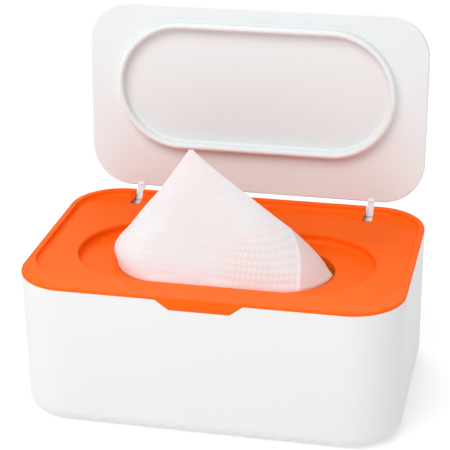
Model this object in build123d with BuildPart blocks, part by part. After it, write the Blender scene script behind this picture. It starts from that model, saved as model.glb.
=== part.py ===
"""A refillable wipe dispenser: a tub, a lift-off dispensing frame and a hinged lid, shown open with a wipe pulled up.

The origin is the middle of the standing plane, +X along the box, +Y to the hinge side, +Z up.
"""
from build123d import *
from math import acos, cos, degrees, radians, sin, tan
import os

os.makedirs("parts", exist_ok=True)

# Closed box
box_length = 190.0
box_width = 129.4
box_height = 73.9
corner_radius = 26.4
side_draft = 0.3

# Tub
tub_wall = 1.8
tub_floor = 2.6
base_fillet = 7.0
standing_ring_width = 4.0
underside_recess = 0.8

# Grip pads under the tub
pad_radius = 6.5
pad_edge = 0.3
pad_end_inset = 29.0
pad_side_inset = 28.7

# Dispensing frame
lip_thickness = 1.4
lip_edge = 0.9
seam_edge = 0.25
seat_clearance = 0.3
skirt_thickness = 1.2
bead_height = 0.2
bead_half_width = 0.7
bead_length = 14.0
bead_spacing = 80.0
bead_drop = 1.8
tray_depth = 3.2
tray_floor = 1.4
tray_fillet = 2.4
tray_edge = 0.7
tray_rear_step = 0.6
recess_depth = 5.2
recess_fillet = 2.4
recess_edge = 1.2
opening_end_inset = 17.9
opening_side_inset = 7.4
opening_edge = 0.5

# Pull tab at the front of the frame
tab_top_half = 21.0
tab_bottom_half = 14.5
tab_drop = 4.6
tab_shoulder = 1.282
tab_clearance = 0.3

# Lid
lid_end_inset = 3.9
lid_shortfall = 28.1
lid_thickness = 3.0
lid_corner = 22.4
lid_edge = 1.2
lid_outer_edge = 0.8
lid_clearance = 0.6
lid_lean = 4.3
lid_overhang = 2.1
lid_rise = 1.1

# Stadium ridge on the lid and the soft seal set in its crest
ridge_end_inset = 17.8
ridge_half_width = 32.9
ridge_top_inset = 10.2
ridge_thickness = 3.2
ridge_height = 3.6
ridge_foot = 1.2
seal_thickness = 1.9
seal_crest = 5.65
seal_root = 1.2
seal_round = 0.9
seal_gap = 0.05
recess_gap = 0.7

# Hinges
hinge_inset = 3.3
hinge_drop = 7.4
hinge_end_inset = 27.6
closing_angle = 94.3
pin_radius = 1.5
pin_fit = 0.03
hook_running_fit = 0.05
hook_wall = 1.2
mouth_end = 240.0
arm_width = 3.5
slot_width = 4.3
ear_gap = 5.0
ear_thickness = 2.4
ear_wall = 0.9
ear_depth = 10.4
ear_front = 3.1
web_thickness = 1.45
web_gap = 0.15
stop_gap = 0.25
window_width = 4.9
rib_height = 0.8
rib_reach = 2.2
rib_clearance = 0.8
neck_rise = 1.0
neck_step = 0.4
neck_front_bulge = (2.9, 5.3)
neck_rear_bulge = (5.2, 4.6)
pin_chamfer = 0.3

# Folded wipes inside
wipe_end_clearance = 7.2
wipe_side_clearance = 12.9
wipe_thickness = 1.85
wipe_gap = 0.05
wipe_count = 24
wipe_fold_radius = 0.9
stack_clearance = 0.2

# The wipe that stands in the opening. Each level has its share of the whole rise, its left and right ends as shares of
# the mouth's half length, and, as shares of the mouth's bend, how far its left end, right end and front lie behind the
# mouth's middle, and its own bend radius
cloth_thickness = 1.0
cloth_clearance = 0.35
cloth_side_set = 3.3
cloth_rise = 55.0
cloth_levels = (
    (0.109, -1.058, 0.880, 0.127, 0.107, -0.807, 0.915),
    (0.255, -0.947, 0.657, 0.346, 0.346, -0.489, 0.795),
    (0.436, -0.806, 0.399, 0.406, 0.425, -0.151, 0.716),
    (0.636, -0.642, 0.116, 0.425, 0.465, 0.107, 0.636),
    (0.836, -0.490, -0.145, 0.465, 0.465, 0.326, 0.358),
    (1.000, -0.379, -0.332, 0.473, 0.473, 0.457, 0.064),
)

# Cutting allowance past a face, and the tolerance for picking faces and edges by place
cut_extra = 1.0
near = 0.01

# Sizes worked out from those above
lid_length = box_length - 2 * lid_end_inset
lid_depth = box_width - lid_shortfall
lid_edge_y = box_width / 2 + lid_overhang
lid_edge_z = box_height + lid_rise
hinge_y = box_width / 2 - hinge_inset
hinge_z = box_height - hinge_drop
hinge_spacing = lid_length - 2 * hinge_end_inset
ridge_half_length = lid_length / 2 - ridge_end_inset
ridge_offset = lid_depth - ridge_top_inset - ridge_half_width
opening_half_length = ridge_half_length - opening_end_inset
opening_half_width = ridge_half_width - opening_side_inset
pad_spacing_x = box_length - 2 * pad_end_inset
pad_spacing_y = box_width - 2 * pad_side_inset
wipe_length = box_length - 2 * (tub_wall + wipe_end_clearance)
wipe_fold_width = box_width - 2 * (tub_wall + wipe_side_clearance)
seat_z = box_height - lip_thickness
draft_shift = seat_z * tan(radians(side_draft))
tray_z = box_height - tray_depth
recess_z = tray_z - recess_depth
lean = radians(lid_lean)
turn = radians(closing_angle)
hook_bore = pin_radius + hook_running_fit
hook_radius = hook_bore + hook_wall
ear_radius = pin_radius + pin_fit + ear_wall
ear_span = ear_gap + 2 * ear_thickness
lip_turn = radians(mouth_end)
hinge_places = (-hinge_spacing / 2, hinge_spacing / 2)
skirt_inset = tub_wall + seat_clearance
recess_half_length = ridge_half_length + ridge_thickness / 2 + recess_gap
recess_half_width = ridge_half_width + ridge_thickness / 2 + recess_gap


def closed_place(y, z):
    """Where a point of the open lid lies once the lid is shut."""
    dy, dz = y - hinge_y, z - hinge_z
    return hinge_y + dy * cos(turn) - dz * sin(turn), hinge_z + dy * sin(turn) + dz * cos(turn)


def lid_point(height, proud=0.0):
    """Y and Z of a point on the open lid's inner face, at a height above its lower edge."""
    y = lid_edge_y + height * sin(lean) - proud * cos(lean)
    z = lid_edge_z + height * cos(lean) + proud * sin(lean)
    return y, z


recess_y = closed_place(*lid_point(ridge_offset))[0]
tray_front = closed_place(*lid_point(lid_depth))[0] - lid_clearance
tray_rear = box_width / 2 - skirt_inset - skirt_thickness - tray_rear_step
slot_front = closed_place(*lid_point(rib_height))[0] - rib_clearance
tray_length = lid_length + 2 * lid_clearance
tray_corner = lid_corner + lid_clearance


def stadium(half_length, half_width):
    """Full length and height of a stadium, as SlotOverall takes them."""
    return 2 * half_length, 2 * half_width


def tab_sketch(outer_y, gap):
    """The pull tab's outline on the box's front, larger by a gap, with a root that runs up into the lip."""
    top_half, bottom_half = tab_top_half + gap, tab_bottom_half + gap
    shoulder = top_half + tab_shoulder
    foot_z = seat_z - tab_drop - gap
    with BuildSketch(Plane.XZ.offset(outer_y)) as outline:
        with BuildLine():
            Polyline(
                (-shoulder, seat_z + seam_edge),
                (-shoulder, seat_z),
                (-top_half, seat_z),
                (-bottom_half, foot_z),
                (bottom_half, foot_z),
                (top_half, seat_z),
                (shoulder, seat_z),
                (shoulder, seat_z + seam_edge),
                close=True,
            )
        make_face()
    return outline.sketch


# Tub: a drafted shell with a standing ring below and two hinge brackets inside its rear wall
with BuildPart() as tub:
    with BuildSketch(Plane.XY):
        RectangleRounded(box_length - 2 * draft_shift, box_width - 2 * draft_shift, corner_radius - draft_shift)
    extrude(amount=seat_z, taper=-side_draft)
    fillet(tub.faces().sort_by(Axis.Z)[-1].edges(), seam_edge)
    fillet(tub.faces().sort_by(Axis.Z)[0].edges(), base_fillet)
    with BuildSketch(Plane.XY.offset(tub_floor)):
        inner_shift = draft_shift * (1 - tub_floor / seat_z) + tub_wall
        RectangleRounded(box_length - 2 * inner_shift, box_width - 2 * inner_shift, corner_radius - inner_shift)
    extrude(amount=seat_z - tub_floor, taper=-side_draft, mode=Mode.SUBTRACT)
    cavity_floor = tub.faces().filter_by(Plane.XY).filter_by(lambda face: abs(face.center().Z - tub_floor) < near)
    fillet(cavity_floor.sort_by(SortBy.AREA)[-1].edges(), base_fillet - tub_wall)
    ring_inset = draft_shift + base_fillet + standing_ring_width
    with BuildSketch(Plane.XY):
        RectangleRounded(box_length - 2 * ring_inset, box_width - 2 * ring_inset, corner_radius - ring_inset)
    extrude(amount=underside_recess, mode=Mode.SUBTRACT)

    # The brackets: two ears either side of the lid's arm, with a stop web between them
    wall_y = box_width / 2 - tub_wall / 2
    ear_foot = hinge_z - ear_depth
    for x in hinge_places:
        for side in (-1, 1):
            with BuildSketch(Plane.YZ.offset(x + side * (ear_gap + ear_thickness) / 2)):
                with Locations((hinge_y, hinge_z)):
                    Circle(ear_radius)
                with BuildLine():
                    Polyline(
                        (hinge_y, hinge_z + ear_radius),
                        (wall_y, hinge_z + ear_radius),
                        (wall_y, ear_foot),
                        (hinge_y - ear_front, hinge_z - ear_depth / 2),
                        (hinge_y - ear_front, hinge_z - ear_radius / 2),
                        (hinge_y - ear_radius, hinge_z),
                        (hinge_y, hinge_z + ear_radius),
                    )
                make_face()
            extrude(amount=ear_thickness / 2, both=True)
        with BuildSketch(Plane.YZ.offset(x)):
            with BuildLine():
                web_top = hinge_z + hook_bore * sin(lip_turn) - stop_gap
                web_back = hinge_y + hook_radius * cos(lip_turn) - web_gap
                Polyline(
                    (web_back, web_top),
                    (web_back - web_thickness, web_top),
                    (web_back - web_thickness, hinge_z - ear_depth / 2),
                    (web_back, hinge_z - ear_depth / 2),
                    close=True,
                )
            make_face()
        extrude(amount=ear_gap / 2, both=True)
        with BuildSketch(Plane.YZ.offset(x)):
            with Locations((hinge_y, hinge_z)):
                Circle(pin_radius + pin_fit)
        extrude(amount=ear_span, both=True, mode=Mode.SUBTRACT)
        with BuildSketch(Plane.XZ.offset(-box_width / 2)):
            notch_foot = hinge_z - hook_radius - seat_clearance
            with Locations((x, (seat_z + notch_foot) / 2)):
                Rectangle(slot_width, seat_z - notch_foot)
        extrude(amount=tub_wall + cut_extra, both=True, mode=Mode.SUBTRACT)

    # The notch that takes the frame's pull tab
    extrude(tab_sketch(box_width / 2, tab_clearance), amount=tub_wall + cut_extra, both=True, mode=Mode.SUBTRACT)
tub.part.label = "tub"
export_step(tub.part, "parts/tub.step")

# Four round grip pads, stuck in the recess under the tub and level with its standing ring
pad_names = ("pad_rear_left", "pad_front_left", "pad_rear_right", "pad_front_right")
pad_places = [(sx * pad_spacing_x / 2, sy * pad_spacing_y / 2) for sx in (-1, 1) for sy in (1, -1)]
for pad_name, pad_place in zip(pad_names, pad_places):
    with BuildPart() as pad:
        with BuildSketch(Plane.XY):
            with Locations(pad_place):
                Circle(pad_radius)
        extrude(amount=underside_recess)
        chamfer(pad.edges().group_by(Axis.Z)[0], pad_edge)
    pad.part.label = pad_name
    export_step(pad.part, f"parts/{pad_name}.step")

# Dispensing frame: a lip that sits on the tub, a tray for the lid, and a stadium recess with the opening in its floor
with BuildPart() as frame:
    with BuildSketch(Plane.XY.offset(seat_z)):
        RectangleRounded(box_length, box_width, corner_radius)
    extrude(amount=lip_thickness)
    fillet(frame.faces().sort_by(Axis.Z)[-1].edges(), lip_edge)
    fillet(frame.faces().sort_by(Axis.Z)[0].edges(), seam_edge)
    skirt_foot = tray_z - tray_floor
    with BuildSketch(Plane.XY.offset(skirt_foot)):
        RectangleRounded(box_length - 2 * skirt_inset, box_width - 2 * skirt_inset, corner_radius - skirt_inset)
    extrude(amount=seat_z - skirt_foot)

    # Low beads on the skirt's rear and ends, which centre the frame in the tub; the front, with the tab, lifts free
    skirt_half_length = box_length / 2 - skirt_inset
    skirt_half_width = box_width / 2 - skirt_inset
    bead_z = seat_z - bead_drop
    bead_planes = [
        Plane(origin=(side * bead_spacing / 2, skirt_half_width, bead_z), x_dir=(0, 1, 0), z_dir=(1, 0, 0))
        for side in (-1, 1)
    ]
    bead_planes += [
        Plane(origin=(side * skirt_half_length, 0, bead_z), x_dir=(side, 0, 0), z_dir=(0, 1, 0)) for side in (-1, 1)
    ]
    for plane in bead_planes:
        with BuildSketch(plane):
            with BuildLine():
                ThreePointArc((0, -bead_half_width), (bead_height, 0), (0, bead_half_width))
                Line((0, bead_half_width), (0, -bead_half_width))
            make_face()
        extrude(amount=bead_length / 2, both=True)

    # The hollow under the wide front shelf, inside the skirt
    shelf_front = -box_width / 2 + skirt_inset + skirt_thickness
    shelf_rear = tray_front - skirt_thickness
    shelf_length = box_length - 2 * (skirt_inset + corner_radius)
    with BuildSketch(Plane.XY.offset(skirt_foot)):
        with Locations((0, (shelf_front + shelf_rear) / 2)):
            Rectangle(shelf_length, shelf_rear - shelf_front)
    extrude(amount=seat_z - skirt_foot, mode=Mode.SUBTRACT)

    with BuildSketch(Plane.XY.offset(recess_z - tray_floor)):
        with Locations((0, recess_y)):
            SlotOverall(*stadium(recess_half_length + tray_floor, recess_half_width + tray_floor))
    extrude(amount=recess_depth)
    fillet(frame.faces().sort_by(Axis.Z)[0].edges(), recess_fillet)

    with BuildSketch(Plane.XY.offset(tray_z)):
        with Locations((0, (tray_front + tray_rear) / 2)):
            RectangleRounded(tray_length, tray_rear - tray_front, tray_corner)
    extrude(amount=tray_depth, mode=Mode.SUBTRACT)
    tray_face = frame.faces().filter_by(Plane.XY).filter_by(lambda face: abs(face.center().Z - tray_z) < near)
    fillet(tray_face.sort_by(SortBy.AREA)[-1].edges(), tray_fillet)
    rim = frame.edges().filter_by(lambda edge: abs(edge.center().Z - box_height) < near)
    fillet(rim.filter_by(lambda edge: edge.center().Y > tray_front - tray_edge), tray_edge)

    with BuildSketch(Plane.XY.offset(recess_z)):
        with Locations((0, recess_y)):
            SlotOverall(*stadium(recess_half_length, recess_half_width))
    extrude(amount=recess_depth, mode=Mode.SUBTRACT)
    recess_face = frame.faces().filter_by(Plane.XY).filter_by(lambda face: abs(face.center().Z - recess_z) < near)
    fillet(recess_face.sort_by(SortBy.AREA)[-1].edges(), recess_fillet)
    recess_rim = frame.edges().filter_by(lambda edge: abs(edge.center().Z - tray_z) < near)
    recess_rim = recess_rim.filter_by(lambda edge: abs(edge.center().X) < recess_half_length + near)
    fillet(recess_rim.filter_by(lambda edge: abs(edge.center().Y - recess_y) < recess_half_width + near), recess_edge)
    with BuildSketch(Plane.XY.offset(recess_z)):
        with Locations((0, recess_y)):
            SlotOverall(*stadium(opening_half_length, opening_half_width))
    extrude(amount=recess_fillet * 2, both=True, mode=Mode.SUBTRACT)
    mouth = frame.edges().filter_by(lambda edge: abs(edge.center().Z - recess_z) < near)
    mouth = mouth.filter_by(lambda edge: abs(edge.center().X) < opening_half_length + near)
    fillet(mouth.filter_by(lambda edge: abs(edge.center().Y - recess_y) < opening_half_width + near), opening_edge)

    # Slots for the lid's arms, each with a wider window in front that shows the hinge pin
    window_rear = hinge_y - ear_front
    for x in hinge_places:
        with BuildSketch(Plane.XY.offset(skirt_foot)):
            with Locations((x, (slot_front + box_width / 2) / 2)):
                Rectangle(slot_width, box_width / 2 - slot_front)
            with Locations((x, (slot_front + window_rear) / 2)):
                Rectangle(window_width, window_rear - slot_front)
        extrude(amount=box_height - skirt_foot, mode=Mode.SUBTRACT)

    # The pull tab, which fills a notch in the tub's front wall
    extrude(tab_sketch(box_width / 2 - tub_wall, 0), amount=tub_wall)
frame.part.label = "dispensing_frame"
export_step(frame.part, "parts/dispensing_frame.step")

# Lid: a soft-edged plate with a stadium ridge on its inner face and two arms that hook round the hinge pins
inner_face = Plane(origin=(0, lid_edge_y, lid_edge_z), x_dir=(1, 0, 0), z_dir=(0, -cos(lean), sin(lean)))
with BuildPart() as lid:
    with BuildSketch(inner_face):
        with Locations((0, lid_depth / 2)):
            RectangleRounded(lid_length, lid_depth, lid_corner)
    extrude(amount=-lid_thickness)
    fillet(lid.faces().filter_by(inner_face).sort_by(Axis.Y)[0].edges(), lid_edge)
    fillet(lid.faces().filter_by(inner_face).sort_by(Axis.Y)[-1].edges(), lid_outer_edge)
    with BuildSketch(inner_face):
        with Locations((0, ridge_offset)):
            SlotOverall(*stadium(ridge_half_length + ridge_thickness / 2, ridge_half_width + ridge_thickness / 2))
            SlotOverall(
                *stadium(ridge_half_length - ridge_thickness / 2, ridge_half_width - ridge_thickness / 2),
                mode=Mode.SUBTRACT,
            )
    extrude(amount=ridge_height)
    foot_edges = lid.edges().filter_by(lambda edge: abs(inner_face.to_local_coords(edge.center()).Z) < near)
    fillet(foot_edges.filter_by(lambda edge: abs(edge.center().X) < ridge_half_length + ridge_thickness), ridge_foot)
    with BuildSketch(inner_face.offset(ridge_height)):
        groove_half = seal_thickness / 2 + seal_gap
        with Locations((0, ridge_offset)):
            SlotOverall(*stadium(ridge_half_length + groove_half, ridge_half_width + groove_half))
            SlotOverall(*stadium(ridge_half_length - groove_half, ridge_half_width - groove_half), mode=Mode.SUBTRACT)
    extrude(amount=-seal_root - seal_gap, mode=Mode.SUBTRACT)

    neck_front = lid_point(0, rib_height)
    neck_back = lid_point(rib_reach, -lid_thickness / 2)
    neck_corner = lid_point(neck_rise, -lid_thickness + neck_step)
    front_bulge = (hinge_y + neck_front_bulge[0], hinge_z + neck_front_bulge[1])
    rear_bulge = (hinge_y + neck_rear_bulge[0], hinge_z + neck_rear_bulge[1])
    lip_bore = (hinge_y + hook_bore * cos(lip_turn), hinge_z + hook_bore * sin(lip_turn))
    lip_outer = (hinge_y + hook_radius * cos(lip_turn), hinge_z + hook_radius * sin(lip_turn))
    for x in hinge_places:
        with BuildSketch(Plane.YZ.offset(x)):
            with BuildLine():
                Line((hinge_y, hinge_z + hook_bore), (hinge_y, hinge_z + hook_radius))
                ThreePointArc((hinge_y, hinge_z + hook_radius), front_bulge, neck_front)
                Polyline(neck_front, lid_point(rib_height, rib_height), lid_point(rib_reach), neck_back)
                Line(neck_back, neck_corner)
                ThreePointArc(neck_corner, rear_bulge, (hinge_y + hook_radius, hinge_z))
                Line((hinge_y + hook_radius, hinge_z), (hinge_y + hook_bore, hinge_z))
                CenterArc((hinge_y, hinge_z), hook_bore, 0, 90)
            make_face()
        extrude(amount=arm_width / 2, both=True)
        with BuildSketch(Plane.YZ.offset(x)):
            with BuildLine():
                mouth_turn = mouth_end - 360
                CenterArc((hinge_y, hinge_z), hook_radius, mouth_turn, -mouth_turn)
                Line((hinge_y + hook_radius, hinge_z), (hinge_y + hook_bore, hinge_z))
                CenterArc((hinge_y, hinge_z), hook_bore, 0, mouth_turn)
                Line(lip_bore, lip_outer)
            make_face()
        extrude(amount=arm_width / 2, both=True)
lid.part.label = "lid"
export_step(lid.part, "parts/lid.step")

# Soft seal: a stadium bead rooted in the ridge, with a rounded crest
with BuildPart() as seal:
    with BuildSketch(inner_face.offset(ridge_height - seal_root)):
        with Locations((0, ridge_offset)):
            SlotOverall(*stadium(ridge_half_length + seal_thickness / 2, ridge_half_width + seal_thickness / 2))
            SlotOverall(
                *stadium(ridge_half_length - seal_thickness / 2, ridge_half_width - seal_thickness / 2),
                mode=Mode.SUBTRACT,
            )
    extrude(amount=seal_crest - ridge_height + seal_root)
    crest = seal.faces().filter_by(lambda face: face.normal_at().dot(inner_face.z_dir) > 1 - near)
    fillet(crest.edges(), seal_round)
seal.part.label = "lid_seal"
export_step(seal.part, "parts/lid_seal.step")

# Hinge pins, pressed through the ears of the tub's brackets
for pin_name, x in zip(("hinge_pin_left", "hinge_pin_right"), hinge_places):
    with BuildPart() as pin:
        with BuildSketch(Plane.YZ.offset(x)):
            with Locations((hinge_y, hinge_z)):
                Circle(pin_radius)
        extrude(amount=ear_span / 2, both=True)
        chamfer(pin.edges(), pin_chamfer)
    pin.part.label = pin_name
    export_step(pin.part, f"parts/{pin_name}.step")

# The refill: wipes folded into flat packets and stacked on the tub's floor
stack_foot = tub_floor + stack_clearance
wipe_pitch = wipe_thickness + wipe_gap
stack_top = stack_foot + wipe_count * wipe_pitch - wipe_gap
with BuildPart() as wipes:
    for i in range(wipe_count):
        with BuildSketch(Plane.XY.offset(stack_foot + i * wipe_pitch)):
            Rectangle(wipe_length, wipe_fold_width)
        extrude(amount=wipe_thickness)
    fillet(wipes.edges().filter_by(Axis.X), wipe_fold_radius)
wipes.part.label = "wipe_stack"
export_step(wipes.part, "parts/wipe_stack.step")


def cloth_section(height, left, right, left_back, right_back, front, bend):
    """One level of the standing wipe: two bent ends joined by a straight front, as thick as the cloth."""
    left_sweep = acos(1 - (left_back - front) / bend)
    right_sweep = acos(1 - (right_back - front) / bend)
    left_middle = (left + bend * sin(left_sweep), front + bend)
    right_middle = (right - bend * sin(right_sweep), front + bend)
    with BuildSketch(Plane.XY.offset(height)) as section:
        with BuildLine():
            outer = bend
            inner = bend - cloth_thickness
            left_outer = CenterArc(left_middle, outer, 270, -degrees(left_sweep))
            left_inner = CenterArc(left_middle, inner, 270, -degrees(left_sweep))
            right_outer = CenterArc(right_middle, outer, 270, degrees(right_sweep))
            right_inner = CenterArc(right_middle, inner, 270, degrees(right_sweep))
            Line(left_outer @ 0, right_outer @ 0)
            Line(left_inner @ 0, right_inner @ 0)
            Line(left_outer @ 1, left_inner @ 1)
            Line(right_outer @ 1, right_inner @ 1)
        make_face()
    return section.sketch


# The pulled wipe: it climbs out of the stack along the opening's front rim and stands as a tented corner
mouth_bend = opening_half_width - cloth_clearance
mouth_reach = opening_half_length - opening_half_width
mouth_front = recess_y - mouth_bend
mouth_top = recess_z + opening_edge
mouth_back = recess_y - cloth_side_set
mouth_end_x = mouth_reach + (mouth_bend**2 - (recess_y - mouth_back) ** 2) ** 0.5
mouth_level = (-mouth_end_x, mouth_end_x, mouth_back, mouth_back, mouth_front, mouth_bend)
standing_levels = [
    (
        mouth_top + cloth_rise * rise,
        mouth_end_x * left,
        mouth_end_x * right,
        recess_y + mouth_bend * left_back,
        recess_y + mouth_bend * right_back,
        recess_y + mouth_bend * front,
        mouth_bend * bend,
    )
    for rise, left, right, left_back, right_back, front, bend in cloth_levels
]
with BuildPart() as cloth:
    loft([cloth_section(mouth_top, *mouth_level)] + [cloth_section(*level) for level in standing_levels])
    extrude(cloth_section(stack_top + stack_clearance, *mouth_level), amount=mouth_top - stack_top - stack_clearance)
cloth.part.label = "pulled_wipe"
export_step(cloth.part, "parts/pulled_wipe.step")
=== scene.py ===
# A wipe dispenser with its lid open and a wipe pulled up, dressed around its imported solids
import math

import bpy
from mathutils import Matrix, Vector


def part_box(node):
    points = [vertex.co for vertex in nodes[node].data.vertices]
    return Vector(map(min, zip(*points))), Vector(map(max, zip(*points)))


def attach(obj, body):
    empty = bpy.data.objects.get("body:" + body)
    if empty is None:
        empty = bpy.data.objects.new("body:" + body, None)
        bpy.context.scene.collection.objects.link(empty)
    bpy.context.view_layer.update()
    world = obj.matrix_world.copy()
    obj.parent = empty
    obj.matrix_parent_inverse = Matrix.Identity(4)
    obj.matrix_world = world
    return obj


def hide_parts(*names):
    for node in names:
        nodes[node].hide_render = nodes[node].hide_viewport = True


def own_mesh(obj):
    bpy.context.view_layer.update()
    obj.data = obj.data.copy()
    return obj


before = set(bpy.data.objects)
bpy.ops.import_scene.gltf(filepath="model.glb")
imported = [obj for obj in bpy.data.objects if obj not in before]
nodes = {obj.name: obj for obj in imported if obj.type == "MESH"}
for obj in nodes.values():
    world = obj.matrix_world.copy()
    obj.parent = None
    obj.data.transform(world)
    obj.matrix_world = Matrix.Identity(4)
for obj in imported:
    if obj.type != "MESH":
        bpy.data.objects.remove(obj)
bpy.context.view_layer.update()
mm = 0.001
print("frame loaded:", len(nodes), "nodes")


# Camera, as it stood for the picture
cameraView = {
    "azimuth": 12.959,  # degrees round from straight in front
    "elevation": 23.564,
    "roll": -0.79,
    "distance": 829.3,  # mm
    "aimRight": -1.36,  # mm, where it aims, to the right of the origin and up
    "aimUp": 77.95,
    "lens": 126.66,
    "sensor": 36.0,
    "clip": (0.05, 20.0),  # m
}


def makeCamera(view):
    turn = math.radians(view["azimuth"])
    tilt = math.radians(view["elevation"])
    roll = math.radians(view["roll"])
    back = Vector((math.sin(turn) * math.cos(tilt), -math.cos(turn) * math.cos(tilt), math.sin(tilt)))
    right = Vector((math.cos(turn), math.sin(turn), 0))
    up = back.cross(right)
    aim = (right * view["aimRight"] + up * view["aimUp"]) * mm
    rolledRight = right * math.cos(roll) + up * math.sin(roll)
    rolledUp = up * math.cos(roll) - right * math.sin(roll)
    data = bpy.data.cameras.new("camera")
    data.lens = view["lens"]
    data.sensor_width = view["sensor"]
    data.clip_start, data.clip_end = view["clip"]
    camera = bpy.data.objects.new("camera", data)
    bpy.context.scene.collection.objects.link(camera)
    camera.matrix_world = Matrix.Translation(aim + back * view["distance"] * mm) @ Matrix(
        (rolledRight, rolledUp, back)
    ).transposed().to_4x4()
    bpy.context.scene.camera = camera


makeCamera(cameraView)
print("camera placed")


# Colours are picked as they look on screen, and turned to the linear values that shaders take
def linearColour(hexCode):
    channels = [int(hexCode[i:i + 2], 16) / 255 for i in (0, 2, 4)]
    linear = [c / 12.92 if c <= 0.04045 else ((c + 0.055) / 1.055) ** 2.4 for c in channels]
    return (*linear, 1.0)


def addNode(tree, kind, values=None, links=None, **settings):
    node = tree.nodes.new(kind)
    for name, value in settings.items():
        setattr(node, name, value)
    for name, value in (values or {}).items():
        node.inputs[name].default_value = value
    for name, socket in (links or {}).items():
        tree.links.new(socket, node.inputs[name])
    return node


def newMaterial(name):
    material = bpy.data.materials.new(name)
    material.use_nodes = True
    tree = material.node_tree
    tree.nodes.clear()
    return material, tree


# Polypropylene or acetal from a lightly sparked mould: a soft sheen, and a grain that only shows close up
def mouldedPlastic(name, colour, deepColour, roughness, specular=0.5):
    flowSize = 55 * mm
    grainSize = 0.7 * mm
    grainDepth = 0.012 * mm
    scatterDepth = 1.5 * mm
    material, tree = newMaterial(name)
    place = addNode(tree, "ShaderNodeTexCoord")
    flow = addNode(
        tree, "ShaderNodeTexNoise", {"Scale": 1 / flowSize, "Detail": 2.0, "Roughness": 0.5},
        {"Vector": place.outputs["Object"]},
    )
    tint = addNode(
        tree, "ShaderNodeMix", {"A": linearColour(colour), "B": linearColour(deepColour)},
        {"Factor": flow.outputs["Fac"]}, data_type="RGBA",
    )
    grain = addNode(
        tree, "ShaderNodeTexNoise", {"Scale": 1 / grainSize, "Detail": 3.0, "Roughness": 0.55},
        {"Vector": place.outputs["Object"]},
    )
    sheen = addNode(
        tree, "ShaderNodeMapRange", {"To Min": roughness - 0.04, "To Max": roughness + 0.05},
        {"Value": grain.outputs["Fac"]},
    )
    bump = addNode(
        tree, "ShaderNodeBump", {"Strength": 0.35, "Distance": grainDepth}, {"Height": grain.outputs["Fac"]},
    )
    shader = addNode(
        tree, "ShaderNodeBsdfPrincipled",
        {
            "IOR": 1.49, "Specular IOR Level": specular,
            "Subsurface Weight": 0.06, "Subsurface Scale": scatterDepth,
        },
        {
            "Base Color": tint.outputs["Result"],
            "Roughness": sheen.outputs["Result"],
            "Normal": bump.outputs["Normal"],
        },
    )
    shader.inputs["Subsurface Radius"].default_value = (1.0, 0.7, 0.5)
    addNode(tree, "ShaderNodeOutputMaterial", None, {"Surface": shader.outputs["BSDF"]})
    return material


# Silicone rubber, compression moulded: milky, faintly soft to the light
def mouldedSilicone(name, colour):
    hazeSize = 3.0 * mm
    hazeDepth = 0.02 * mm
    scatterDepth = 1.0 * mm
    material, tree = newMaterial(name)
    place = addNode(tree, "ShaderNodeTexCoord")
    haze = addNode(
        tree, "ShaderNodeTexNoise", {"Scale": 1 / hazeSize, "Detail": 2.0},
        {"Vector": place.outputs["Object"]},
    )
    sheen = addNode(
        tree, "ShaderNodeMapRange", {"To Min": 0.52, "To Max": 0.62}, {"Value": haze.outputs["Fac"]},
    )
    bump = addNode(
        tree, "ShaderNodeBump", {"Strength": 0.2, "Distance": hazeDepth}, {"Height": haze.outputs["Fac"]},
    )
    shader = addNode(
        tree, "ShaderNodeBsdfPrincipled",
        {
            "Base Color": linearColour(colour), "IOR": 1.41,
            "Subsurface Weight": 0.25, "Subsurface Scale": scatterDepth,
        },
        {"Roughness": sheen.outputs["Result"], "Normal": bump.outputs["Normal"]},
    )
    addNode(tree, "ShaderNodeOutputMaterial", None, {"Surface": shader.outputs["BSDF"]})
    return material


# Thermoplastic rubber, die cut from sheet: matt, with a fine pebble
def dieCutRubber(name):
    pebbleSize = 0.6 * mm
    pebbleDepth = 0.04 * mm
    material, tree = newMaterial(name)
    place = addNode(tree, "ShaderNodeTexCoord")
    pebble = addNode(
        tree, "ShaderNodeTexVoronoi", {"Scale": 1 / pebbleSize}, {"Vector": place.outputs["Object"]},
    )
    tint = addNode(
        tree, "ShaderNodeMix", {"A": linearColour("C9C8C6"), "B": linearColour("B4B3B1")},
        {"Factor": pebble.outputs["Distance"]}, data_type="RGBA",
    )
    bump = addNode(
        tree, "ShaderNodeBump", {"Strength": 0.5, "Distance": pebbleDepth},
        {"Height": pebble.outputs["Distance"]},
    )
    shader = addNode(
        tree, "ShaderNodeBsdfPrincipled", {"Roughness": 0.85, "IOR": 1.5},
        {"Base Color": tint.outputs["Result"], "Normal": bump.outputs["Normal"]},
    )
    addNode(tree, "ShaderNodeOutputMaterial", None, {"Surface": shader.outputs["BSDF"]})
    return material


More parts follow.
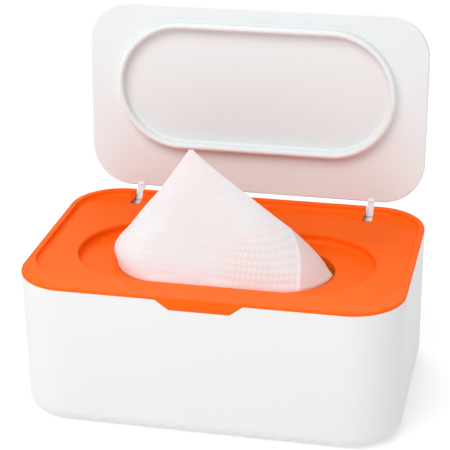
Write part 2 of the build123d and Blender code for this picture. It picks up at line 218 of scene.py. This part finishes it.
# Spunlaced viscose: fibres tangled by water jets, faintly see-through, with a soft bloom at glancing angles
def spunlacedNonwoven(name):
    fibreSize = 0.35 * mm
    fibreDepth = 0.07 * mm
    cloudSize = 9 * mm
    scatterDepth = 1.2 * mm
    material, tree = newMaterial(name)
    place = addNode(tree, "ShaderNodeTexCoord")
    carded = addNode(
        tree, "ShaderNodeMapping", {"Scale": (1.0, 1.0, 0.35)}, {"Vector": place.outputs["Object"]},
    )
    fibres = addNode(
        tree, "ShaderNodeTexNoise", {"Scale": 1 / fibreSize, "Detail": 5.0, "Roughness": 0.65},
        {"Vector": carded.outputs["Vector"]},
    )
    clouds = addNode(
        tree, "ShaderNodeTexNoise", {"Scale": 1 / cloudSize, "Detail": 3.0},
        {"Vector": place.outputs["Object"]},
    )
    tint = addNode(
        tree, "ShaderNodeMix", {"A": linearColour("E7E7E8"), "B": linearColour("E1E0E2")},
        {"Factor": clouds.outputs["Fac"]}, data_type="RGBA",
    )
    # one ply, or the web between the pearls, is painted pinker for the orange light that shines through it
    # from behind; pressed places are whiter
    thin = addNode(tree, "ShaderNodeAttribute", attribute_name="thin")
    paintedShowThrough = addNode(
        tree, "ShaderNodeMix", {"B": linearColour("DEC8C4")},
        {"Factor": thin.outputs["Fac"], "A": tint.outputs["Result"]}, data_type="RGBA",
    )
    dense = addNode(tree, "ShaderNodeAttribute", attribute_name="dense")
    pressed = addNode(
        tree, "ShaderNodeMix", {"B": linearColour("F3F1F1")},
        {"Factor": dense.outputs["Fac"], "A": paintedShowThrough.outputs["Result"]}, data_type="RGBA",
    )
    bump = addNode(
        tree, "ShaderNodeBump", {"Strength": 0.5, "Distance": fibreDepth}, {"Height": fibres.outputs["Fac"]},
    )
    shader = addNode(
        tree, "ShaderNodeBsdfPrincipled",
        {
            "Roughness": 0.92, "IOR": 1.4, "Sheen Weight": 0.12, "Sheen Roughness": 0.5,
            "Subsurface Weight": 0.3, "Subsurface Scale": scatterDepth,
        },
        {"Base Color": pressed.outputs["Result"], "Normal": bump.outputs["Normal"]},
    )
    addNode(tree, "ShaderNodeOutputMaterial", None, {"Surface": shader.outputs["BSDF"]})
    return material


whitePolypropylene = mouldedPlastic("mouldedWhitePolypropylene", "E7E6E7", "E5E4E5", 0.42)
# the lid's white is a painted counter-tint: cooler and a little darker than the tub's, to cancel the orange
# light that the frame bounces onto it
lidPolypropylene = mouldedPlastic("mouldedLidPolypropylene", "E4E8E9", "E2E6E7", 0.50)
orangePolypropylene = mouldedPlastic("mouldedOrangePolypropylene", "FD6509", "FB5F08", 0.48, specular=0.09)
acetal = mouldedPlastic("mouldedWhiteAcetal", "F4F2F0", "F1EFED", 0.30)
silicone = mouldedSilicone("mouldedSilicone", "E6E9EA")
gripRubber = dieCutRubber("dieCutRubber")
nonwoven = spunlacedNonwoven("spunlacedNonwoven")

nodeFinish = {
    "tub": whitePolypropylene,
    "dispensing_frame": orangePolypropylene,
    "lid": lidPolypropylene,
    "lid_seal": silicone,
    "hinge_pin_left": acetal,
    "hinge_pin_right": acetal,
    "pad_front_left": gripRubber,
    "pad_front_right": gripRubber,
    "pad_rear_left": gripRubber,
    "pad_rear_right": gripRubber,
    "wipe_stack": nonwoven,
    "pulled_wipe": nonwoven,
}
for nodeName, finish in nodeFinish.items():
    nodes[nodeName].data.materials.clear()
    nodes[nodeName].data.materials.append(finish)
print("finishes made:", len(bpy.data.materials))


def newPiece(name, points, faces, material):
    mesh = bpy.data.meshes.new(name)
    mesh.from_pydata(points, [], faces)
    mesh.materials.append(material)
    mesh.shade_smooth()
    piece = bpy.data.objects.new(name, mesh)
    bpy.context.scene.collection.objects.link(piece)
    return piece


def gridFaces(rows, columns):
    return [
        (r * columns + c, r * columns + c + 1, (r + 1) * columns + c + 1, (r + 1) * columns + c)
        for r in range(rows - 1)
        for c in range(columns - 1)
    ]


# The pulled wipe: a sheet whose corner stands up through the mouth and whose tail lies pleated on the stack
cadWipeLow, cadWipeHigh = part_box("pulled_wipe")
pulledWipe = {
    "flat": (172.0, 200.0),
    "thickness": 0.45,
    "stackTop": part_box("wipe_stack")[1].z / mm,
    "mouthHeight": 66.0,
    "mouthEnd": cadWipeHigh.x / mm,
    "mouthFront": cadWipeLow.y / mm,
    "mouthBend": 25.15,
    "mouthBack": -9.0,
    # height, left end, right end, how far back each of them lies, front, radius of the bend at the ends
    "levels": (
        (72.0, -57.4, 48.5, -2.5, -3.0, -26.0, 23.0),
        (80.0, -51.5, 36.2, 3.0, 3.0, -18.0, 20.0),
        (90.0, -43.3, 22.0, 4.5, 5.0, -9.5, 18.0),
        (101.0, -34.7, 6.4, 5.0, 6.0, -3.0, 16.0),
        (112.0, -26.7, -8.0, 6.0, 6.0, 2.5, 9.0),
        (119.5, -21.6, -17.0, 6.2, 6.2, 5.4, 2.4),
        (121.7, -20.0, -19.2, 6.2, 6.2, 6.1, 0.5),
    ),
    "columns": 208,
    "rowStep": 0.65,
    "pearlPitch": 2.7,
    "pearlDepth": 0.26,
    "pearlFrom": (-8.0, 16.0),  # mm along the cloth, over which the pearls come up to their full depth
    "pearlTop": (76.0, 93.0),  # heights over which they fade
    "pearlTopLoss": 0.8,  # share of their depth that goes there
    "pearlLeast": 0.2,  # share of it that they start with
    "pearlEnd": (-2.0, -0.5),  # mm from the seam, over which they stop
    "pearlDense": 0.3,
    "webThin": 0.45,  # how thin the cloth between the pearls is, where one ply is 1, and so how much painted orange show-through it gets
    "plainMargin": 0.02,  # share of a row without pearls at either end
    "rowDepth": 0.07,
    "seamAt": 41.7,
    "seamTop": (80.0, 91.0),  # heights over which the seam fades
    "seamTopLoss": 0.7,
    "seamHeight": 0.48,
    "seamWidth": 0.5,
    "seamDense": 0.85,
    "plyStep": 0.25,
    "plyEdge": (-0.3, 0.5),  # mm from the seam, over which the cloth steps down to one ply
    "reliefRise": 0.05,  # share of the rise over which the relief comes up from the mouth
    "foldDepth": 0.45,
    "foldPitch": 31.0,
    "foldSlant": 0.06,  # radians per mm of height
    "dropRows": 8,
    "pleats": 6,
    "pleatPitch": 1.15,
    "pleatInset": 1.0,
    "tailRise": 0.6,
    "turnSteps": 4,
    "pleatSteps": 9,
}


def smoothBetween(low, high, value):
    share = min(1.0, max(0.0, (value - low) / (high - low)))
    return share * share * (3 - 2 * share)


def levelAt(levels, height):
    # every size of the section follows a smooth curve through the levels
    last = len(levels) - 1
    i = 0
    while i < last - 1 and height > levels[i + 1][0]:
        i += 1
    here, there = levels[i], levels[i + 1]
    span = there[0] - here[0]
    t = (height - here[0]) / span
    before, after = levels[max(i - 1, 0)], levels[min(i + 2, last)]
    values = []
    for k in range(1, len(here)):
        slopeHere = (there[k] - before[k]) / (there[0] - before[0])
        slopeThere = (after[k] - here[k]) / (after[0] - here[0])
        values.append(
            here[k] * (2 * t**3 - 3 * t**2 + 1)
            + slopeHere * span * (t**3 - 2 * t**2 + t)
            + there[k] * (3 * t**2 - 2 * t**3)
            + slopeThere * span * (t**3 - t**2)
        )
    return values


def sectionPoint(section, share):
    # a point of one level, its outward direction, and how far along the cloth it lies from x = 0
    left, right, leftBack, rightBack, front, bend = section
    leftSweep = math.acos(max(-1.0, 1 - (leftBack - front) / bend))
    rightSweep = math.acos(max(-1.0, 1 - (rightBack - front) / bend))
    leftFoot = left + bend * math.sin(leftSweep)
    rightFoot = right - bend * math.sin(rightSweep)
    leftArc, rightArc = bend * leftSweep, bend * rightSweep
    walk = share * (leftArc + rightFoot - leftFoot + rightArc)
    if walk < leftArc:
        turn = (leftArc - walk) / bend
        x, y = leftFoot - bend * math.sin(turn), front + bend * (1 - math.cos(turn))
        return x, y, -math.sin(turn), -math.cos(turn), leftFoot - (leftArc - walk)
    if walk < leftArc + rightFoot - leftFoot:
        return leftFoot + walk - leftArc, front, 0.0, -1.0, leftFoot + walk - leftArc
    rest = walk - leftArc - (rightFoot - leftFoot)
    turn = rest / bend
    x, y = rightFoot + bend * math.sin(turn), front + bend * (1 - math.cos(turn))
    return x, y, math.sin(turn), -math.cos(turn), rightFoot + rest


def clothRelief(sizes, along, height, share, rise):
    # how far the cloth stands out, how dense and how thin it is: pearls, faint rows, a pressed seam, slack
    pitch = sizes["pearlPitch"]
    row = math.cos(math.pi * height / pitch) ** 2
    pearl = math.cos(math.pi * along / pitch) ** 2 * row
    past = along - sizes["seamAt"]
    patch = smoothBetween(0.0, sizes["plainMargin"], min(share, 1 - share))
    patch *= 1 - smoothBetween(*sizes["pearlEnd"], past)
    full = smoothBetween(*sizes["pearlFrom"], along)
    full *= 1 - sizes["pearlTopLoss"] * smoothBetween(*sizes["pearlTop"], height)
    depth = sizes["pearlDepth"] * (sizes["pearlLeast"] + (1 - sizes["pearlLeast"]) * full)
    emboss = patch * (depth * pearl + sizes["rowDepth"] * (1 - full) * row)
    seam = math.exp(-(past / sizes["seamWidth"]) ** 2)
    seam *= 1 - sizes["seamTopLoss"] * smoothBetween(*sizes["seamTop"], height)
    single = smoothBetween(*sizes["plyEdge"], past)
    wave = 2 * math.pi * along / sizes["foldPitch"] + sizes["foldSlant"] * height
    slack = sizes["foldDepth"] * math.sin(wave) * (1 - rise)
    lift = emboss + sizes["seamHeight"] * seam - sizes["plyStep"] * single + slack
    dense = min(1.0, sizes["seamDense"] * seam + sizes["pearlDense"] * patch * full * pearl)
    # thin also sets how much painted orange show-through the cloth's colour gets
    thin = min(1.0, single + sizes["webThin"] * patch * full * (1 - pearl))
    return lift, dense, thin


def makePulledWipe(sizes):
    mouthHeight = sizes["mouthHeight"]
    mouth = (
        -sizes["mouthEnd"], sizes["mouthEnd"], sizes["mouthBack"], sizes["mouthBack"],
        sizes["mouthFront"], sizes["mouthBend"],
    )
    levels = [(mouthHeight, *mouth), *sizes["levels"]]
    top = levels[-1][0]
    columns = sizes["columns"]
    sides = [2 * c / (columns - 1) - 1 for c in range(columns)]
    middle = sizes["mouthFront"] + sizes["mouthBend"]
    reach = sizes["mouthEnd"] - math.sqrt(sizes["mouthBend"] ** 2 - (sizes["mouthBack"] - middle) ** 2)
    tailTop = sizes["stackTop"] + sizes["tailRise"] + (sizes["pleats"] - 1) * sizes["pleatPitch"]
    points = []
    dense, thin = [], []

    # the standing corner, from its tip down to the mouth
    rows = math.ceil((top - mouthHeight) / sizes["rowStep"])
    for r in range(rows + 1):
        height = top - (top - mouthHeight) * r / rows
        section = levelAt(levels, height)
        rise = (height - mouthHeight) / (top - mouthHeight)
        fade = smoothBetween(0.0, sizes["reliefRise"], rise)
        for c in range(columns):
            share = c / (columns - 1)
            x, y, outX, outY, along = sectionPoint(section, share)
            lift, denseHere, thinHere = clothRelief(sizes, along, height, share, rise)
            points.append((x + outX * lift * fade, y + outY * lift * fade, height))
            dense.append(denseHere)
            thin.append(thinHere)

    # the drop behind the mouth's rim, where the bent cloth straightens
    drop = mouthHeight - tailTop
    frontRow = sizes["mouthFront"] + sizes["pleatInset"]

    def halfLength(y):
        bend = sizes["mouthBend"] - sizes["pleatInset"]
        return reach + math.sqrt(max(0.0, bend ** 2 - (y - middle) ** 2))

    def layRow(y, height, half):
        points.extend((side * half, y, height) for side in sides)

    for r in range(1, sizes["dropRows"]):
        part = r / sizes["dropRows"]
        ease = smoothBetween(0.0, 1.0, part)
        height = mouthHeight - drop * part
        for c, side in enumerate(sides):
            x, y, *_ = sectionPoint(mouth, c / (columns - 1))
            straightX = side * halfLength(frontRow)
            points.append((x + (straightX - x) * ease, y + (frontRow - y) * ease, height))

    # the pleats, one over another, inside the mouth's outline
    rearRow = 2 * middle - frontRow
    radius = sizes["pleatPitch"] / 2
    for k in range(sizes["pleats"]):
        start, end = (frontRow, rearRow) if k % 2 == 0 else (rearRow, frontRow)
        height = tailTop - k * sizes["pleatPitch"]
        for s in range(sizes["pleatSteps"] + 1):
            y = start + (end - start) * s / sizes["pleatSteps"]
            layRow(y, height, halfLength(y))
        if k < sizes["pleats"] - 1:
            outward = 1 if end > start else -1
            for s in range(1, sizes["turnSteps"]):
                turn = math.pi * s / sizes["turnSteps"]
                y = end + outward * radius * math.sin(turn)
                layRow(y, height - radius + radius * math.cos(turn), halfLength(end))
    faces = gridFaces(len(points) // columns, columns)
    piece = newPiece("pulledWipeSheet", [Vector(p) * mm for p in points], faces, nonwoven)
    for name, values in (("dense", dense), ("thin", thin)):
        tail = [0.0] * (len(points) - len(values))
        piece.data.attributes.new(name, "FLOAT", "POINT").data.foreach_set("value", values + tail)
    thicken = piece.modifiers.new("thickness", "SOLIDIFY")
    thicken.thickness = sizes["thickness"] * mm
    thicken.offset = -1
    return piece


wipeSheet = makePulledWipe(pulledWipe)
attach(wipeSheet, "wipe")
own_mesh(wipeSheet)
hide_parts("pulled_wipe")
print("pulled wipe made:", len(wipeSheet.data.vertices), "points")


# The collar: a short wall under the recess floor, round the mouth, that keeps the next wipe off its edge
mouthCollar = {
    "halfLength": 55.4,
    "halfWidth": 25.5,
    "middle": pulledWipe["mouthFront"] + pulledWipe["mouthBend"],
    "top": 64.1,  # mm, the underside of the recess floor
    "depth": 7.0,
    "wall": 1.2,
    "edge": 0.35,
    "edgeMiddle": 0.3,  # share of the edge by which its rounding's middle lies in from the corner
    "turnSteps": 48,
}


def sweepStadium(name, profile, halfLength, halfWidth, turnSteps, place, material):
    # carries a closed profile, given as how far outward and how high, round a stadium
    sharpAngle = math.radians(60)
    reach = halfLength - halfWidth
    turns = [
        (side, math.pi * (s / turnSteps - 0.5 * side))
        for side in (1, -1)
        for s in range(turnSteps + 1)
    ]
    points = []
    for outward, height in profile:
        radius = halfWidth + outward
        for side, turn in turns:
            x, y = side * reach + radius * math.cos(turn), radius * math.sin(turn)
            points.append(place(x, y, height) * mm)
    around, along = len(turns), len(profile)
    faces = [
        (p * around + t, p * around + (t + 1) % around,
         (p + 1) % along * around + (t + 1) % around, (p + 1) % along * around + t)
        for p in range(along)
        for t in range(around)
    ]
    piece = newPiece(name, points, faces, material)
    piece.data.set_sharp_from_angle(angle=sharpAngle)
    return piece


def makeMouthCollar(sizes):
    top, wall, edge = sizes["top"], sizes["wall"], sizes["edge"]
    low = top - sizes["depth"]
    inset = edge * sizes["edgeMiddle"]
    profile = (
        (0.0, top), (0.0, low + edge), (inset, low + inset), (edge, low),
        (wall - edge, low), (wall - inset, low + inset), (wall, low + edge), (wall, top),
    )

    def place(x, y, z):
        return Vector((x, sizes["middle"] + y, z))

    return sweepStadium(
        "mouthCollar", profile, sizes["halfLength"], sizes["halfWidth"], sizes["turnSteps"],
        place, orangePolypropylene,
    )


collar = makeMouthCollar(mouthCollar)
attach(collar, "frame")
print("mouth collar made:", len(collar.data.vertices), "points")


# The seal: a soft bead moulded over the crest of the lid's ridge, which rounds it off
sealBead = {
    "halfLength": 73.3,
    "halfWidth": 32.9,
    "middle": 58.2,  # mm up the lid's inner face from its lower edge
    "lidEdge": (66.8, 75.0),  # y and z of that edge
    "lean": 4.3,  # degrees that the open lid leans back
    "halfThickness": 1.62,
    "foot": 3.2,  # mm proud of the inner face, over the crest's corners
    "shoulder": 3.7,
    "crest": 5.6,
    "profileSteps": 14,
    "turnSteps": 56,
}


def makeSealBead(sizes):
    half, shoulder = sizes["halfThickness"], sizes["shoulder"]
    rise = sizes["crest"] - shoulder
    steps = sizes["profileSteps"]
    profile = [(-half, sizes["foot"]), (half, sizes["foot"])]
    for s in range(steps + 1):
        turn = math.pi * s / steps
        profile.append((half * math.cos(turn), shoulder + rise * math.sin(turn)))
    lean = math.radians(sizes["lean"])
    edgeY, edgeZ = sizes["lidEdge"]

    def place(x, up, proud):
        height = sizes["middle"] + up
        return Vector((
            x,
            edgeY + height * math.sin(lean) - proud * math.cos(lean),
            edgeZ + height * math.cos(lean) + proud * math.sin(lean),
        ))

    return sweepStadium(
        "sealBead", profile, sizes["halfLength"], sizes["halfWidth"], sizes["turnSteps"], place, silicone,
    )


bead = makeSealBead(sealBead)
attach(bead, "lid")
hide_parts("lid_seal")
print("seal bead made:", len(bead.data.vertices), "points")


# The refill: one wipe folded to a few layers, laid up as often as the refill has wipes
stackLow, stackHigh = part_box("wipe_stack")
refill = {
    "count": 24,
    "layers": 4,
    "ply": 0.34,
    "layerPitch": 0.44,
    "inset": 0.6,  # mm inside the solids that it stands for
    "columns": 12,
    "plySteps": 7,
    "turnSteps": 5,
    "sag": 0.05,
    "sagTurn": 3.1,  # radians from a wipe's middle to its end
    "sagSlant": 0.05,  # radians per mm across it
    "slip": 0.35,  # mm that a wipe may lie out of line
    "twist": 0.12,  # degrees
    "seed": 4,
}


def makeFoldedWipe(sizes, length, width):
    # a zigzag of layers whose folds run along X, with both its ends at the front
    radius = sizes["layerPitch"] / 2
    half = width / 2 - radius - sizes["inset"]
    steps = sizes["plySteps"]
    profile = []
    for layer in range(sizes["layers"]):
        start, end = (-half, half) if layer % 2 == 0 else (half, -half)
        height = sizes["ply"] / 2 + layer * sizes["layerPitch"]
        profile += [(start + (end - start) * s / steps, height) for s in range(steps + 1)]
        if layer < sizes["layers"] - 1:
            outward = 1 if end > start else -1
            for s in range(1, sizes["turnSteps"]):
                turn = math.pi * s / sizes["turnSteps"]
                y = end + outward * radius * math.sin(turn)
                profile.append((y, height + radius * (1 - math.cos(turn))))
    columns = sizes["columns"]
    points = []
    for y, z in profile:
        for c in range(columns):
            share = 2 * c / (columns - 1) - 1
            x = share * (length / 2 - sizes["inset"])
            ripple = sizes["sag"] * math.sin(sizes["sagTurn"] * share + sizes["sagSlant"] * y)
            points.append(Vector((x, y, z + ripple)) * mm)
    piece = newPiece("foldedWipe", points, gridFaces(len(profile), columns), nonwoven)
    thicken = piece.modifiers.new("thickness", "SOLIDIFY")
    thicken.thickness = sizes["ply"] * mm
    thicken.offset = 0
    return piece


def stackTree(sizes, source, pitch):
    tree = bpy.data.node_groups.new("wipeRefill", "GeometryNodeTree")
    face = tree.interface
    face.new_socket("Geometry", in_out="OUTPUT", socket_type="NodeSocketGeometry")
    for name, kind, value in (
        ("Wipes", "NodeSocketInt", sizes["count"]),
        ("Pitch", "NodeSocketFloat", pitch * mm),
        ("Slip", "NodeSocketFloat", sizes["slip"] * mm),
        ("Twist", "NodeSocketFloat", math.radians(sizes["twist"])),
        ("Seed", "NodeSocketInt", sizes["seed"]),
    ):
        socket = face.new_socket(name, in_out="INPUT", socket_type=kind)
        socket.default_value = value
    given = addNode(tree, "NodeGroupInput")

    def randomWithin(size, axes):
        # a random vector that lies between minus and plus a size on the given axes
        back = addNode(tree, "ShaderNodeMath", {1: -1.0}, {0: size}, operation="MULTIPLY")
        low = addNode(tree, "ShaderNodeCombineXYZ", None, {axis: back.outputs[0] for axis in axes})
        high = addNode(tree, "ShaderNodeCombineXYZ", None, {axis: size for axis in axes})
        draw = addNode(
            tree, "FunctionNodeRandomValue", None,
            {"Min": low.outputs["Vector"], "Max": high.outputs["Vector"], "Seed": given.outputs["Seed"]},
            data_type="FLOAT_VECTOR",
        )
        return draw.outputs["Value"]

    rise = addNode(tree, "ShaderNodeCombineXYZ", None, {"Z": given.outputs["Pitch"]})
    line = addNode(
        tree, "GeometryNodeMeshLine", None,
        {"Count": given.outputs["Wipes"], "Offset": rise.outputs["Vector"]},
    )
    moved = addNode(
        tree, "GeometryNodeSetPosition", None,
        {"Geometry": line.outputs["Mesh"], "Offset": randomWithin(given.outputs["Slip"], "XY")},
    )
    wipe = addNode(tree, "GeometryNodeObjectInfo", {"Object": source})
    laid = addNode(
        tree, "GeometryNodeInstanceOnPoints", None,
        {
            "Points": moved.outputs["Geometry"],
            "Instance": wipe.outputs["Geometry"],
            "Rotation": randomWithin(given.outputs["Twist"], "Z"),
        },
    )
    real = addNode(tree, "GeometryNodeRealizeInstances", None, {"Geometry": laid.outputs["Instances"]})
    dressed = addNode(
        tree, "GeometryNodeSetMaterial", {"Material": nonwoven}, {"Geometry": real.outputs["Geometry"]},
    )
    addNode(tree, "NodeGroupOutput", None, {"Geometry": dressed.outputs["Geometry"]})
    return tree


def bakeTree(name, tree, place):
    # runs a tree on an empty mesh, and keeps the result as a plain mesh in its place
    carrier = newPiece(name + "Carrier", [], [], nonwoven)
    modifier = carrier.modifiers.new("tree", "NODES")
    modifier.node_group = tree
    bpy.context.view_layer.update()
    evaluated = carrier.evaluated_get(bpy.context.evaluated_depsgraph_get())
    mesh = bpy.data.meshes.new_from_object(evaluated)
    mesh.transform(Matrix.Translation(place))
    mesh.name = name
    bpy.data.objects.remove(carrier)
    piece = bpy.data.objects.new(name, mesh)
    bpy.context.scene.collection.objects.link(piece)
    return piece


stackSize = (stackHigh - stackLow) / mm
stackFoot = ((stackLow.x + stackHigh.x) / 2, (stackLow.y + stackHigh.y) / 2, stackLow.z)
foldedWipe = makeFoldedWipe(refill, stackSize.x, stackSize.y)
refillTree = stackTree(refill, foldedWipe, stackSize.z / refill["count"])
refillStack = bakeTree("refillStack", refillTree, stackFoot)
bpy.data.objects.remove(foldedWipe)
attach(refillStack, "tub")
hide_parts("wipe_stack")
print("refill laid up:", len(refillStack.data.vertices), "points")


# Floor, backdrop and light
studio = {
    "floorSize": 8.0,
    "floorDrop": 0.1,  # mm below the feet
    "floorColour": "CCCCCC",
    "floorGlow": 0.41,
    "skyStrength": 0.28,
    "aimHeight": 0.07,
    "lights": (
        # name, place, width, depth, power in watts
        ("rearSoftbox", (-0.1, 0.9, 1.1), 1.2, 0.8, 12.6),
        ("highFrontSoftbox", (-0.3, -0.8, 1.1), 1.1, 0.8, 13.6),
        ("rightSoftbox", (1.3, -0.2, 0.6), 0.9, 0.9, 2.4),
        ("leftSoftbox", (-1.3, 0.0, 0.6), 0.9, 0.9, 1.5),
        ("frontSoftbox", (0.1, -1.5, 0.5), 0.9, 0.9, 1.0),
    ),
}


def makeStudio(sizes):
    half = sizes["floorSize"] / 2
    fibreSize = 2 * mm
    fibreDepth = 0.02 * mm
    floorMaterial, tree = newMaterial("matteBackdropPaper")
    place = addNode(tree, "ShaderNodeTexCoord")
    fibre = addNode(
        tree, "ShaderNodeTexNoise", {"Scale": 1 / fibreSize}, {"Vector": place.outputs["Object"]},
    )
    bump = addNode(
        tree, "ShaderNodeBump", {"Strength": 0.05, "Distance": fibreDepth}, {"Height": fibre.outputs["Fac"]},
    )
    shader = addNode(
        tree, "ShaderNodeBsdfPrincipled",
        {
            "Base Color": linearColour(sizes["floorColour"]), "Roughness": 0.9, "Specular IOR Level": 0.2,
            "Emission Color": (1, 1, 1, 1), "Emission Strength": sizes["floorGlow"],
        },
        {"Normal": bump.outputs["Normal"]},
    )
    addNode(tree, "ShaderNodeOutputMaterial", None, {"Surface": shader.outputs["BSDF"]})
    floorHeight = -sizes["floorDrop"] * mm
    corners = [(-half, -half), (half, -half), (half, half), (-half, half)]
    floor = newPiece("floor", [(x, y, floorHeight) for x, y in corners], [(0, 1, 2, 3)], floorMaterial)
    for name, spot, width, depth, power in sizes["lights"]:
        data = bpy.data.lights.new(name, "AREA")
        data.shape = "RECTANGLE"
        data.size = width
        data.size_y = depth
        data.energy = power
        lamp = bpy.data.objects.new(name, data)
        bpy.context.scene.collection.objects.link(lamp)
        aim = Vector((0, 0, sizes["aimHeight"])) - Vector(spot)
        lamp.matrix_world = Matrix.Translation(spot) @ aim.to_track_quat("-Z", "Y").to_matrix().to_4x4()
    world = bpy.data.worlds.new("studio")
    world.use_nodes = True
    background = world.node_tree.nodes["Background"]
    background.inputs["Color"].default_value = (1, 1, 1, 1)
    background.inputs["Strength"].default_value = sizes["skyStrength"]
    bpy.context.scene.world = world
    bpy.context.scene.view_settings.view_transform = "Standard"


makeStudio(studio)
print("studio lit")
